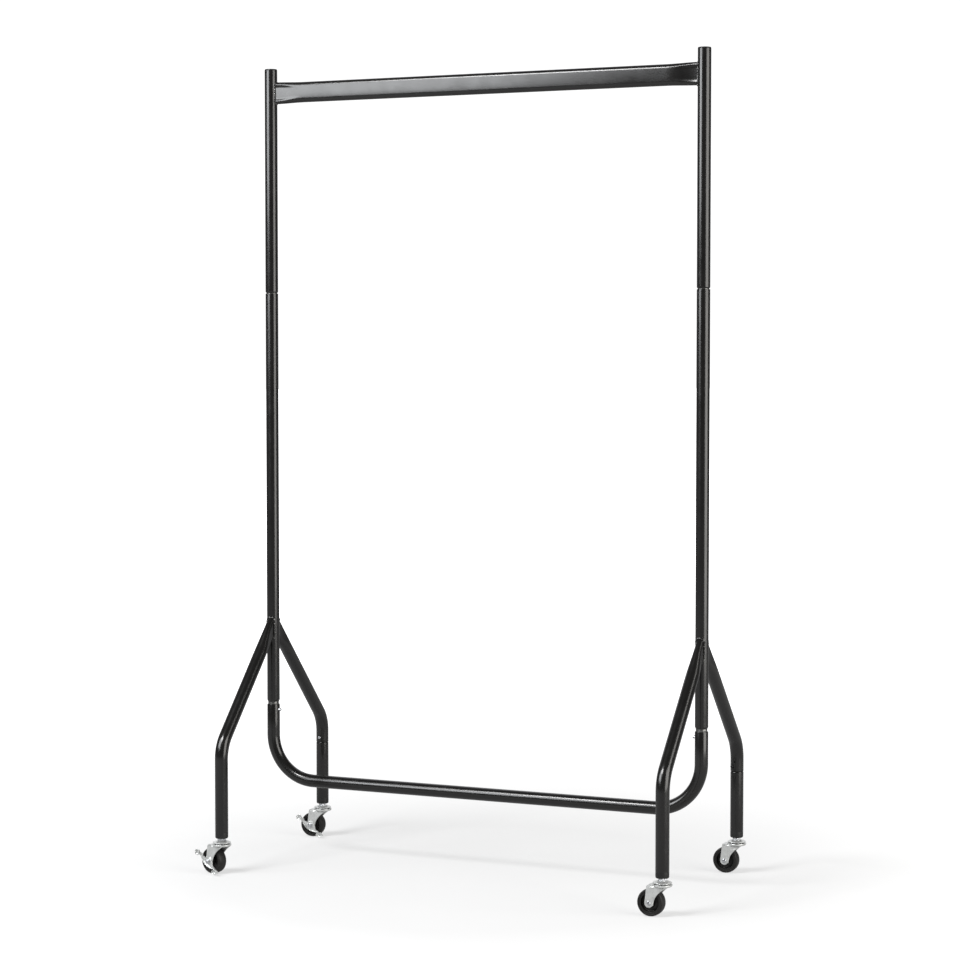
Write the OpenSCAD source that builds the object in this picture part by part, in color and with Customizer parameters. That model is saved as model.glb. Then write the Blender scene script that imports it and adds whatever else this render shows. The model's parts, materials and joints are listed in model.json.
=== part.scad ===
// Straight garment rail on four castors.
// A-shaped end frames, an upturned base rail, and an upper frame that pushes into the lower uprights.
// Millimetres, +Z up, +X along the rail, -Y is the front.
// The origin is on the floor, at the centre of the footprint with the castors trailing to -X.

/* [Rack] */
// Distance between the centre lines of the two uprights
rail_length = 914; // [700:1:1800]
// Distance between the front and rear castor stems
base_depth = 422; // [380:1:560]
// Floor to the top of the uprights
top_height = 1583.5; // [1400:0.5:1900]
// Floor to the centre line of the hanging bar
bar_height = 1535; // [1300:1:1540]
// Floor to the joint between the lower and upper uprights
mid_joint_height = 1136; // [700:1:1200]
// Floor to the rim of the base rail's upturned ends
base_joint_height = 308; // [304:1:330]
// Floor to the centre line of the base rail
base_rail_height = 157; // [150:1:160]

/* [Tube] */
// Outside diameter of every round tube
tube_d = 25.4; // [25:0.1:26]
// Wall of every tube
tube_wall = 1.8; // [1.5:0.1:2]
// Centre-line radius of the base rail's bends
rail_bend_r = 90; // [80:1:92]
// Length of a reduced tube end inside its socket
spigot_length = 55; // [40:1:60]
// How far the upper frame's reduced ends reach into the lower uprights
upper_spigot_length = 70; // [50:1:90]
// Radial gap between a reduced tube end and its socket
spigot_gap = 0.05; // [0.03:0.01:0.1]

/* [Hanging bar] */
// Height of the flat-sided bar
bar_height_z = 40.5; // [34:0.5:42]
// Thickness of the bar
bar_thickness = 18; // [16:0.5:20]
// Thickness of the bar's pinched ends
bar_end_thickness = 8.6; // [8:0.1:10]
// Length over which each end is pinched
bar_pinch_length = 62; // [50:1:100]

/* [Legs] */
// Angle between the straight part of a leg and the vertical
leg_splay = 43.3; // [43:0.1:43.6]
// Centre-line radius of the bend in each leg
leg_bend_r = 65; // [60:1:68]
// Floor to the lower end of the bend in each leg
leg_bend_height = 225; // [223:1:227]
// Floor to the seam between a rear leg and its foot
rear_seam_height = 202; // [200:0.5:203]
// Width of a leg's pinched top, along the rail
leg_pinch_width = 15; // [14:0.5:17]
// Length over which a leg's top is pinched
leg_pinch_length = 42; // [30:1:60]

/* [Castors] */
// Wheel diameter
wheel_d = 50.8; // [48:0.1:51]
// Wheel width at the tread
wheel_width = 19; // [17:0.5:20]
// Horizontal distance from the stem to the axle
trail = 21; // [19:0.5:23]
// Floor to the underside of the leg sockets
castor_height = 71; // [70.5:0.5:72]
// Diameter of the swivel race
race_d = 37; // [35:0.5:38]
// Rest heading of the front left castor
front_left_heading = -14; // [-20:1:20]
// Rest heading of the rear left castor
rear_left_heading = 4; // [-20:1:20]
// Rest heading of the front right castor
front_right_heading = -2; // [-20:1:20]
// Rest heading of the rear right castor
rear_right_heading = 1; // [-20:1:20]

/* [Brakes] */
// How far each end of the brake lever is from the axle
lever_reach = 31; // [28:0.5:32]
// How far the lever's end tabs stand out
lever_tab_out = 11; // [8:0.5:12]
// Slope of the lever below the horizontal at rest
lever_slope = 33.5; // [30:0.5:36]

/* [Spring buttons] */
// Diameter of a button
button_d = 5.8; // [5:0.1:6]
// How far a button stands out of its tube
button_proud = 4.6; // [3:0.1:5]
// Turn of the rear left foot and its button from facing the front
left_foot_turn = 4; // [-30:1:30]
// Turn of the rear right foot and its button from facing the front
right_foot_turn = -23; // [-30:1:30]

/* [Hidden] */
$fn = 96;

LEFT = -1;
RIGHT = 1;
FRONT = -1;
REAR = 1;

// tubes
tube_r = tube_d / 2;
bore_r = tube_r - tube_wall;
spigot_r = bore_r - spigot_gap;
spigot_bore_r = spigot_r - 1.5;
cone_length = 4.5;
cap_height = 3;
weld_gap = 0.05;
bar_wall = 1.6;
bar_grip = 16;
bar_half = rail_length / 2 - 6;
// how far outside a tube its tapering flats start
flat_lead = 0.3;

// legs: the centre line bends at (leg_y, leg_bend_height) and then runs straight to the upright
leg_y = base_depth / 2;
bend_end_y = leg_y - leg_bend_r * (1 - cos(leg_splay));
bend_end_z = leg_bend_height + leg_bend_r * sin(leg_splay);
// the sloping part runs on past the upright's centre line before it's trimmed to fit
leg_stop = -6;
leg_run = (bend_end_y - leg_stop) / sin(leg_splay);
leg_grip = 52;
leg_taper_start = leg_run - leg_grip - leg_pinch_length;
leg_top_z = bend_end_z + bend_end_y / tan(leg_splay);
// a round tube pressed flat keeps its perimeter
leg_pinch_depth = (PI * tube_d - PI * leg_pinch_width) / 2 + leg_pinch_width;

// castor heights above the floor
socket_flange = 12;
socket_top = castor_height + socket_flange;
axle_z = wheel_d / 2;
plate_z = 56;
dish_z = 58;
dish_top = 60.2;
race_under = 62.2;
race_top = 66.6;
ball_r = 2;
ball_pitch_r = 13;
ball_z = (dish_top + race_under) / 2;
ball_gap = 0.05;
ball_count = 12;
sheet = 1.8;
hood_x = trail + 4;
cheek_back = 12;
cheek_in = 11.7;
cheek_out = cheek_in + sheet;
bolt_r = 3;
bush_r = 4;
hub_half = 10.9;

// brake lever, in its own frame: u along the lever, v square to it, the axle at 0, 0
cam_in = cheek_out + 0.1;
cam_out = cam_in + 1.8;
lever_out = cam_out + 1.5;
lever_edge_r = 36;
lever_edge_v = 26.3;
lever_dome_r = 12.6;
lever_tab_w = 9;

// spring buttons
base_button_z = base_joint_height - 11;
leg_button_z = rear_seam_height + 10;
button_r = button_d / 2;
button_hole_r = button_r + 0.1;

// the footprint: the widest points are the swivel races on +X and +Y,
// and the front left brake lever's two tabs on -X and -Y
function turned(p, a) = [p[0] * cos(a) - p[1] * sin(a), p[0] * sin(a) + p[1] * cos(a)];
function lever_to_castor(u, v) = [-trail + u * cos(lever_slope) + v * sin(lever_slope),
                                  axle_z - u * sin(lever_slope) + v * cos(lever_slope)];
tab_side = -(lever_out + lever_tab_out);
pedal_x = lever_to_castor(-lever_reach, -lever_tab_w / 2)[0];
heel_x = lever_to_castor(lever_reach, lever_tab_w / 2)[0];
x_low = -rail_length / 2 + turned([pedal_x, tab_side], front_left_heading)[0];
y_low = -base_depth / 2 + turned([heel_x, tab_side], front_left_heading)[1];
x_high = rail_length / 2 + race_d / 2;
y_high = base_depth / 2 + race_d / 2;
shift = [-(x_low + x_high) / 2, -(y_low + y_high) / 2, 0];

function foot_angle(side) = -90 + (side == LEFT ? left_foot_turn : right_foot_turn);

function heading(side, end) =
  side == LEFT ? (end == FRONT ? front_left_heading : rear_left_heading)
               : (end == FRONT ? front_right_heading : rear_right_heading);

// ---- placing ----

module at_upright(side) {
  translate(shift) translate([side * rail_length / 2, 0, 0]) children();
}

// children are drawn with their centre line on the local Z axis of the leg's foot,
// leaning towards -Y, and end up leaning towards the upright
module at_leg(side, end) {
  at_upright(side) facing(end) translate([0, leg_y, 0]) children();
}

module facing(end) {
  if (end == REAR) children();
  else mirror([0, 1, 0]) children();
}

// the castor frame: swivel axis at 0, 0, trailing to -X, brake side on -Y
module at_castor(side, end) {
  translate(shift) translate([side * rail_length / 2, end * base_depth / 2, 0])
    rotate([0, 0, heading(side, end)]) children();
}

module for_all_castors() {
  for (side = [LEFT, RIGHT]) for (end = [FRONT, REAR]) at_castor(side, end) children();
}

// a cylinder along Y between two distances from the wheel's middle plane
module along_y(r, y0, y1, fn = 96) {
  translate([0, y1, 0]) rotate([90, 0, 0]) cylinder(r = r, h = y1 - y0, $fn = fn);
}

// ---- tubes ----

module rod(r, z0, z1) {
  translate([0, 0, z0]) cylinder(r = r, h = z1 - z0);
}

module hollow(z0, z1) {
  difference() {
    rod(tube_r, z0, z1);
    rod(bore_r, z0 - 1, z1 + 1);
  }
}

// a tube whose lower end is drawn down to a spigot; the cone ends just above the socket's rim
module drawn_end_tube(z_tip, z_neck, z_top) {
  z_cone = z_neck + cone_length;
  rotate_extrude() polygon([
    [spigot_bore_r, z_tip], [spigot_r, z_tip], [spigot_r, z_neck], [tube_r, z_cone],
    [tube_r, z_top], [bore_r, z_top], [bore_r, z_cone + 2], [spigot_bore_r, z_neck + 1]
  ]);
}

module button_hole(z, angle) {
  rotate([0, 0, angle]) translate([0, 0, z]) rotate([0, 90, 0])
    cylinder(r = button_hole_r, h = tube_d);
}

// ---- upper frame ----

module upper_upright(side) {
  at_upright(side)
    drawn_end_tube(mid_joint_height - upper_spigot_length, mid_joint_height + 0.3,
                   top_height - cap_height);
}

module left_upper_upright() { color("#1d1d1e") upper_upright(LEFT); }
module right_upper_upright() { color("#1d1d1e") upper_upright(RIGHT); }

// a push-in cap with a softly rounded head
module end_cap() {
  round_r = 2;
  rotate_extrude() {
    polygon([[0, top_height - 14], [bore_r - 0.1, top_height - 14],
             [bore_r - 0.1, top_height - cap_height], [tube_r, top_height - cap_height],
             [tube_r, top_height - round_r], [tube_r - round_r, top_height - round_r],
             [tube_r - round_r, top_height], [0, top_height]]);
    intersection() {
      translate([tube_r - round_r, top_height - round_r]) circle(r = round_r);
      translate([tube_r - round_r, top_height - round_r]) square(round_r);
    }
  }
}

module upper_end_caps() {
  color("#161616") {
    at_upright(LEFT) end_cap();
    at_upright(RIGHT) end_cap();
  }
}

// two flat sides closed by two half rounds, as a 2D shape with its height along X
module flat_oval(height, thickness) {
  for (s = [-1, 1]) translate([s * (height - thickness) / 2, 0]) circle(d = thickness);
  square([height - thickness, thickness], center = true);
}

// the bar's section pressed to a width, grown all round
module pressed_oval(width, grow) {
  intersection() {
    flat_oval(bar_height_z + 2 * grow, bar_thickness + 2 * grow);
    square([bar_height_z + 20, width + 2 * grow], center = true);
  }
}

// the bar is drawn standing on its end along Z, then laid along X
module lay_along_x() {
  translate(shift) translate([0, 0, bar_height]) rotate([0, 90, 0]) children();
}

// the bar seen from above, by half thickness and distance along it: its ends are pinched thin
module bar_plan(wall) {
  middle = bar_thickness / 2 + flat_lead - wall;
  tip = bar_end_thickness / 2 - wall;
  taper_end = bar_half - bar_grip;
  taper_start = taper_end - bar_pinch_length;
  tip_end = bar_half + 1;
  polygon([[middle, -taper_start], [middle, taper_start], [tip, taper_end], [tip, tip_end],
           [-tip, tip_end], [-tip, taper_end], [-middle, taper_start], [-middle, -taper_start],
           [-tip, -taper_end], [-tip, -tip_end], [tip, -tip_end], [tip, -taper_end]]);
}

module bar_solid(wall, length) {
  intersection() {
    linear_extrude(length, center = true)
      flat_oval(bar_height_z - 2 * wall, bar_thickness - 2 * wall);
    rotate([90, 0, 90]) linear_extrude(bar_height_z + 20, center = true) bar_plan(wall);
  }
}

module top_bar() {
  color("#1d1d1e") difference() {
    lay_along_x() difference() {
      bar_solid(0, 2 * bar_half);
      bar_solid(bar_wall, 2 * bar_half + 1);
    }
    for (side = [LEFT, RIGHT]) at_upright(side) rod(tube_r + weld_gap, 0, top_height);
  }
}

// a fillet of weld that hugs the upright all round the bar's end
module bar_weld(side) {
  bead = 2.4;
  difference() {
    intersection() {
      at_upright(side) rod(tube_r + bead, bar_height - 40, bar_height + 40);
      translate(shift) translate([side * rail_length / 2, 0, bar_height])
        rotate([0, -side * 90, 0]) translate([0, 0, 6]) linear_extrude(12)
          pressed_oval(bar_end_thickness, bead);
    }
    at_upright(side) rod(tube_r - 0.05, bar_height - 60, bar_height + 60);
    translate(shift) translate([side * rail_length / 2, 0, bar_height])
      rotate([0, -side * 90, 0]) linear_extrude(30) pressed_oval(bar_end_thickness, -0.1);
  }
}

module top_bar_welds() {
  color("#2a2a2a") {
    bar_weld(LEFT);
    bar_weld(RIGHT);
  }
}

// ---- lower frame ----

module lower_upright(side) {
  at_upright(side) difference() {
    drawn_end_tube(base_joint_height - spigot_length, base_joint_height + 5, mid_joint_height);
    button_hole(base_button_z, side == LEFT ? 0 : 180);
  }
}

module left_lower_upright() { color("#1d1d1e") lower_upright(LEFT); }
module right_lower_upright() { color("#1d1d1e") lower_upright(RIGHT); }

// a quarter bend from the base rail up into one of its ends; grow makes the cut overshoot
module rail_quarter(r, grow) {
  bend_x = rail_length / 2 - rail_bend_r;
  bend_z = base_rail_height + rail_bend_r;
  translate([bend_x, 0, bend_z]) rotate([90, 0, 0]) rotate([0, 0, -90])
    rotate_extrude(angle = 90) translate([rail_bend_r, 0]) circle(r = r);
  translate([rail_length / 2, 0, 0]) rod(r, bend_z, base_joint_height + grow);
  translate([0, 0, base_rail_height]) rotate([0, 90, 0]) cylinder(r = r, h = bend_x);
}

module base_rail() {
  color("#1d1d1e") translate(shift) difference() {
    for (m = [0, 1]) mirror([m, 0, 0]) rail_quarter(tube_r, 0);
    for (m = [0, 1]) mirror([m, 0, 0]) rail_quarter(bore_r, 1);
    translate([-rail_length / 2, 0, 0]) button_hole(base_button_z, 0);
    translate([rail_length / 2, 0, 0]) button_hole(base_button_z, 180);
  }
}

// children stand on the leg's sloping centre line, h above the top of its bend
module on_slope(h) {
  translate([0, bend_end_y - leg_y, bend_end_z]) rotate([leg_splay, 0, 0])
    translate([0, 0, h]) children();
}

// the bend and the straight run of a leg, to where its top starts to flatten;
// a shallow band, as a bending tool leaves, covers the line where the two meet
module leg_path(r) {
  band = 0.1;
  band_half = 1;
  short = 0.3;
  translate([0, -leg_bend_r, leg_bend_height]) rotate([90, 0, 90])
    rotate_extrude(angle = leg_splay - short) translate([leg_bend_r, 0]) circle(r = r);
  on_slope(-band_half) cylinder(r = r + band, h = 2 * band_half);
  on_slope(short) cylinder(r = r, h = leg_taper_start - short);
}

// the flattened end of a leg, grown all round, and longer at both ends by over
module leg_flat(grow, over) {
  on_slope(leg_run - leg_grip - over) linear_extrude(leg_grip + 2 * over) intersection() {
    circle(d = leg_pinch_depth + 2 * grow);
    square([leg_pinch_width + 2 * grow, leg_pinch_depth + 20], center = true);
  }
}

// everything on the far side of the upright from a leg
module beyond_upright(side, end) {
  at_upright(side) facing(end) translate([-40, -80, leg_top_z - 200]) cube([80, 80, 400]);
}

// the top of a leg: it spreads one way and is pressed flat the other
module leg_top(wall) {
  start = tube_r - wall;
  tall = leg_pinch_depth / 2 - wall;
  wide = leg_pinch_width / 2 - wall;
  full = leg_pinch_length + leg_grip;
  on_slope(leg_taper_start) intersection() {
    union() {
      cylinder(r1 = start, r2 = tall, h = leg_pinch_length);
      translate([0, 0, leg_pinch_length]) cylinder(r = tall, h = leg_grip);
    }
    rotate([90, 0, 0]) linear_extrude(4 * tube_r, center = true) polygon([
      [-start - flat_lead, -1], [start + flat_lead, -1], [wide, leg_pinch_length],
      [wide, full + 1], [-wide, full + 1], [-wide, leg_pinch_length]
    ]);
  }
}

// a leg from z0 up to its upright
module leg(side, end, z0) {
  difference() {
    at_leg(side, end) difference() {
      union() {
        rod(tube_r, z0, leg_bend_height);
        leg_path(tube_r);
        leg_top(0);
      }
      rod(bore_r, z0 - 1, leg_bend_height);
      leg_path(bore_r);
      leg_top(tube_wall);
    }
    at_upright(side) rod(tube_r + weld_gap, leg_top_z - 150, leg_top_z + 100);
    beyond_upright(side, end);
  }
}

module front_left_leg() { color("#1d1d1e") leg(LEFT, FRONT, socket_top); }
module front_right_leg() { color("#1d1d1e") leg(RIGHT, FRONT, socket_top); }

module rear_leg(side) {
  spare_hole_r = 2.2;
  difference() {
    leg(side, REAR, rear_seam_height);
    at_leg(side, REAR) {
      button_hole(leg_button_z, foot_angle(side));
      if (side == RIGHT) translate([0, 0, leg_button_z + 9]) rotate([90, 0, 0])
        cylinder(r = spare_hole_r, h = tube_d);
    }
  }
}

module rear_left_leg() { color("#1d1d1e") rear_leg(LEFT); }
module rear_right_leg() { color("#1d1d1e") rear_leg(RIGHT); }

// a foot is a short tube whose top is drawn down to fit up inside the leg
module rear_foot(side) {
  at_leg(side, REAR) difference() {
    translate([0, 0, rear_seam_height + 21]) mirror([0, 0, 1])
      drawn_end_tube(0, 21.3, rear_seam_height + 21 - socket_top);
    button_hole(leg_button_z, foot_angle(side));
  }
}

module rear_left_foot() { color("#1d1d1e") rear_foot(LEFT); }
module rear_right_foot() { color("#1d1d1e") rear_foot(RIGHT); }

// a fillet of weld round each leg's top
module leg_weld(side, end) {
  bead = 2.4;
  difference() {
    intersection() {
      at_upright(side) rod(tube_r + bead, leg_top_z - 80, leg_top_z + 60);
      at_leg(side, end) leg_flat(bead, 0);
    }
    at_upright(side) rod(tube_r - 0.05, leg_top_z - 90, leg_top_z + 70);
    at_leg(side, end) leg_flat(-0.05, 5);
    beyond_upright(side, end);
  }
}

module leg_welds() {
  color("#2a2a2a") for (side = [LEFT, RIGHT]) for (end = [FRONT, REAR]) leg_weld(side, end);
}

// ---- spring buttons ----

// radial frame: +X points out through the button's hole
module at_button(side, place) {
  if (place == "base") at_upright(side) translate([0, 0, base_button_z])
    rotate([0, 0, side == LEFT ? 0 : 180]) children();
  else at_leg(side, REAR) translate([0, 0, leg_button_z]) rotate([0, 0, foot_angle(side)])
    children();
}

spring_arm = 6.4;
arm_half = 8;

// the button and the spring arm that carries it
module button() {
  tip = tube_r + button_proud;
  rotate([0, 90, 0]) {
    translate([0, 0, spring_arm]) cylinder(r = button_r, h = tip - spring_arm - 1.6);
    translate([0, 0, tip - 1.6]) cylinder(r1 = button_r, r2 = button_r - 1.4, h = 1.6);
  }
  translate([spring_arm - 0.8, -3.5, -arm_half]) cube([0.8, 7, 2 * arm_half]);
}

// the rest of the spring: its back arm and its bend
module button_spring() {
  back = spigot_bore_r - 0.75;
  translate([-back, -3.5, -arm_half - 3]) cube([0.8, 7, 2 * arm_half + 3]);
  translate([-back, -3.5, -arm_half - 3.8]) cube([back + 3, 7, 0.8]);
}

module button_springs() {
  color("#b9bcc0") for (side = [LEFT, RIGHT]) for (place = ["base", "leg"])
    at_button(side, place) button_spring();
}

module left_base_button() { color("#c9cbd0") at_button(LEFT, "base") button(); }
module right_base_button() { color("#c9cbd0") at_button(RIGHT, "base") button(); }
module left_leg_button() { color("#c9cbd0") at_button(LEFT, "leg") button(); }
module right_leg_button() { color("#c9cbd0") at_button(RIGHT, "leg") button(); }

// ---- castor parts fixed to the legs ----

// a plastic plug in the tube's end, bored for the stem
module castor_socket() {
  round_r = 3.2;
  plug_top = socket_top + 26;
  rotate_extrude() {
    polygon([[5.05, castor_height], [tube_r - round_r, castor_height],
             [tube_r - round_r, castor_height + round_r], [tube_r, castor_height + round_r],
             [tube_r, socket_top], [bore_r - 0.15, socket_top],
             [bore_r - 0.15, plug_top], [5.05, plug_top]]);
    intersection() {
      translate([tube_r - round_r, castor_height + round_r]) circle(r = round_r);
      translate([tube_r - round_r, castor_height]) square(round_r);
    }
  }
}

module castor_sockets() { color("#141414") for_all_castors() castor_socket(); }

// threaded stud above a hexagon, king pin and riveted head below
module castor_stem() {
  hex_h = castor_height - 0.1 - race_top;
  rod(5, castor_height - 0.1, socket_top + 20);
  translate([0, 0, race_top]) cylinder(r = 8.4, h = hex_h, $fn = 6);
  rod(4, plate_z - 2.2, race_top);
  rod(7, plate_z - 3.4, plate_z - 0.1);
}

module castor_stems() { color("#c6c9cd") for_all_castors() castor_stem(); }

module ball_groove() {
  rotate_extrude() translate([ball_pitch_r, ball_z]) circle(r = ball_r + ball_gap);
}

// the fixed upper race, a shallow pressed cup
module castor_top_race() {
  rim = race_d / 2 - 0.8;
  difference() {
    rotate_extrude() polygon([[4.05, race_under + 2], [8, race_under + 2], [10, race_under],
                              [rim, race_under], [rim, race_under + 1.4],
                              [rim - 3, race_under + 3], [10, race_top], [4.05, race_top]]);
    ball_groove();
  }
}

module castor_top_races() { color("#d3d6da") for_all_castors() castor_top_race(); }

// ---- castor parts that swivel ----

// side view of one cheek: it narrows to an eye round the axle, behind a hollowed rear edge
module cheek_outline() {
  eye_r = 7.8;
  hollow_r = 24;
  translate([-trail, axle_z]) circle(r = eye_r);
  difference() {
    polygon([[-trail - eye_r, axle_z], [-hood_x, dish_z], [cheek_back, dish_z],
             [cheek_back, plate_z], [-5, 37], [-trail + 7, axle_z - 3.4]]);
    translate([race_d / 2, dish_z - hollow_r]) circle(r = hollow_r);
  }
}

module cheek(y0) {
  translate([0, y0 + sheet, 0]) rotate([90, 0, 0]) linear_extrude(sheet) difference() {
    cheek_outline();
    translate([-trail, axle_z]) circle(r = bolt_r + 0.05);
  }
}

// the fork: a dished crown that holds the ball race, and two cheeks
module fork() {
  difference() {
    union() {
      rotate_extrude() polygon([[4.1, plate_z], [race_d / 2, plate_z], [race_d / 2, dish_top],
                                [9.6, dish_top], [7.6, dish_z], [4.1, dish_z]]);
      difference() {
        translate([-hood_x, -cheek_out, plate_z])
          cube([hood_x, 2 * cheek_out, dish_z - plate_z]);
        rod(9, plate_z - 1, dish_z + 1);
      }
      cheek(cheek_in);
      cheek(-cheek_out);
    }
    ball_groove();
    rod(4.1, plate_z - 10, dish_z + 5);
  }
}

// a full circle of balls, caught between the crown and the upper race
module race_balls() {
  for (i = [0 : ball_count - 1]) rotate([0, 0, i * 360 / ball_count])
    translate([ball_pitch_r, 0, ball_z]) sphere(r = ball_r, $fn = 48);
}

// the axle bolt: a hexagon head behind the far cheek, a plain shank towards the viewer
module axle(side) {
  reach = side == LEFT ? lever_out + 5 : cheek_out + 3.6;
  translate([-trail, 0, axle_z]) {
    along_y(bolt_r, -reach, cheek_out + 1);
    along_y(5.2, cheek_out, cheek_out + 3.6, 6);
  }
}

module bush() {
  translate([-trail, 0, axle_z]) difference() {
    along_y(bush_r, -cheek_in + 0.02, cheek_in - 0.02);
    along_y(bolt_r + 0.05, -cheek_in - 1, cheek_in + 1);
  }
}

// a dome-headed nut on the castors that have no brake
module axle_nut() {
  translate([-trail, 0, axle_z]) difference() {
    union() {
      along_y(4.4, -cheek_out - 2.4, -cheek_out - 0.05);
      translate([0, -cheek_out - 2.4, 0]) rotate([90, 0, 0])
        cylinder(r1 = 4.4, r2 = 3.3, h = 1.2);
    }
    along_y(bolt_r + 0.02, -cheek_out - 5, -cheek_out + 1);
  }
}

// a hexagon nut that holds the brake lever on
module brake_nut() {
  translate([-trail, 0, axle_z]) difference() {
    along_y(4.9, -lever_out - 3.2, -lever_out - 0.1, 6);
    along_y(bolt_r + 0.02, -lever_out - 5, -lever_out + 1);
  }
}

// ---- castor parts that roll ----

// the hard core: a hub, a thin web and a rim, in profile and spun round the axle
module wheel_core() {
  rim_in = 17;
  rim_out = 21.2;
  web = 3;
  half = wheel_width / 2 - 0.6;
  translate([-trail, 0, axle_z]) rotate([90, 0, 0]) rotate_extrude() polygon([
    [bush_r + 0.05, -hub_half], [8.5, -hub_half], [9.5, -web], [rim_in - 1, -web],
    [rim_in, -half], [rim_out, -half], [rim_out, half], [rim_in, half],
    [rim_in - 1, web], [9.5, web], [8.5, hub_half], [bush_r + 0.05, hub_half]
  ]);
}

// the soft tread, crowned at both shoulders
module wheel_tyre() {
  tread_r = wheel_d / 2;
  half = wheel_width / 2;
  shoulder = 3;
  translate([-trail, 0, axle_z]) rotate([90, 0, 0]) rotate_extrude() {
    polygon([[21.2, -half], [tread_r - shoulder, -half], [tread_r - shoulder, -half + shoulder],
             [tread_r, -half + shoulder], [tread_r, half - shoulder],
             [tread_r - shoulder, half - shoulder], [tread_r - shoulder, half], [21.2, half]]);
    for (s = [-1, 1]) intersection() {
      translate([tread_r - shoulder, s * (half - shoulder)]) circle(r = shoulder);
      translate([tread_r - shoulder, s > 0 ? half - shoulder : -half]) square(shoulder);
    }
  }
}

// ---- brakes ----

// children are drawn in the lever's own frame, with u along X and v along Y, and are set
// standing on the brake side of the wheel
module at_lever(y_near, depth) {
  translate([-trail, -y_near, axle_z]) rotate([90, 0, 0]) rotate([0, 0, -lever_slope])
    linear_extrude(depth) children();
}

// the lever's curved lower edge, w wide, between its two horns
module lever_strip(w) {
  intersection() {
    difference() {
      translate([0, lever_edge_v]) circle(r = lever_edge_r, $fn = 128);
      translate([0, lever_edge_v]) circle(r = lever_edge_r - w, $fn = 128);
    }
    translate([-19, -12]) square([38, 12]);
  }
}

// a horn runs from the curved edge out to a tab
module lever_horn() {
  polygon([[9, -8.6], [18, -4.9], [24, -3.8], [lever_reach, -3.4], [lever_reach, 0.4],
           [17, -0.6], [9, 4]]);
}

module lever_plate_outline() {
  difference() {
    union() {
      intersection() {
        translate([1.2, -5]) circle(r = lever_dome_r);
        translate([0, lever_edge_v]) circle(r = lever_edge_r - 0.3, $fn = 128);
      }
      lever_horn();
      mirror([1, 0]) lever_horn();
    }
    circle(r = bolt_r + 0.1);
  }
}

// a half-moon plate with a raised lower edge and a tab bent out at each end
module brake_lever() {
  at_lever(cam_out, 1.5) lever_plate_outline();
  at_lever(cam_out + 1.4, 2.6) lever_strip(1.4);
  for (s = [-1, 1]) at_lever(cam_out, lever_tab_out + 1.5)
    translate([s * lever_reach - (s > 0 ? 1.5 : 0), -lever_tab_w / 2]) square([1.5, lever_tab_w]);
}

module brake_cam() {
  at_lever(cam_in, cam_out - cam_in) difference() {
    circle(r = 7.5);
    circle(r = bolt_r + 0.1);
  }
}

// ---- one module per castor sub-part and place ----

module front_left_fork() { color("#d0d3d7") at_castor(LEFT, FRONT) fork(); }
module rear_left_fork() { color("#d0d3d7") at_castor(LEFT, REAR) fork(); }
module front_right_fork() { color("#d0d3d7") at_castor(RIGHT, FRONT) fork(); }
module rear_right_fork() { color("#d0d3d7") at_castor(RIGHT, REAR) fork(); }

module front_left_race_balls() { color("#9a9da1") at_castor(LEFT, FRONT) race_balls(); }
module rear_left_race_balls() { color("#9a9da1") at_castor(LEFT, REAR) race_balls(); }
module front_right_race_balls() { color("#9a9da1") at_castor(RIGHT, FRONT) race_balls(); }
module rear_right_race_balls() { color("#9a9da1") at_castor(RIGHT, REAR) race_balls(); }

module front_left_axle() { color("#bfc2c6") at_castor(LEFT, FRONT) axle(LEFT); }
module rear_left_axle() { color("#bfc2c6") at_castor(LEFT, REAR) axle(LEFT); }
module front_right_axle() { color("#bfc2c6") at_castor(RIGHT, FRONT) axle(RIGHT); }
module rear_right_axle() { color("#bfc2c6") at_castor(RIGHT, REAR) axle(RIGHT); }

module front_left_axle_nut() { color("#bfc2c6") at_castor(LEFT, FRONT) brake_nut(); }
module rear_left_axle_nut() { color("#bfc2c6") at_castor(LEFT, REAR) brake_nut(); }
module front_right_axle_nut() { color("#bfc2c6") at_castor(RIGHT, FRONT) axle_nut(); }
module rear_right_axle_nut() { color("#bfc2c6") at_castor(RIGHT, REAR) axle_nut(); }

module front_left_bush() { color("#a9acb0") at_castor(LEFT, FRONT) bush(); }
module rear_left_bush() { color("#a9acb0") at_castor(LEFT, REAR) bush(); }
module front_right_bush() { color("#a9acb0") at_castor(RIGHT, FRONT) bush(); }
module rear_right_bush() { color("#a9acb0") at_castor(RIGHT, REAR) bush(); }

module front_left_wheel() { color("#1b1a1a") at_castor(LEFT, FRONT) wheel_core(); }
module rear_left_wheel() { color("#1b1a1a") at_castor(LEFT, REAR) wheel_core(); }
module front_right_wheel() { color("#1b1a1a") at_castor(RIGHT, FRONT) wheel_core(); }
module rear_right_wheel() { color("#1b1a1a") at_castor(RIGHT, REAR) wheel_core(); }

module front_left_tyre() { color("#252220") at_castor(LEFT, FRONT) wheel_tyre(); }
module rear_left_tyre() { color("#252220") at_castor(LEFT, REAR) wheel_tyre(); }
module front_right_tyre() { color("#252220") at_castor(RIGHT, FRONT) wheel_tyre(); }
module rear_right_tyre() { color("#252220") at_castor(RIGHT, REAR) wheel_tyre(); }

module front_left_brake_lever() { color("#cdd0d3") at_castor(LEFT, FRONT) brake_lever(); }
module rear_left_brake_lever() { color("#cdd0d3") at_castor(LEFT, REAR) brake_lever(); }

module front_left_brake_cam() { color("#a4a7aa") at_castor(LEFT, FRONT) brake_cam(); }
module rear_left_brake_cam() { color("#a4a7aa") at_castor(LEFT, REAR) brake_cam(); }

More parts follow.
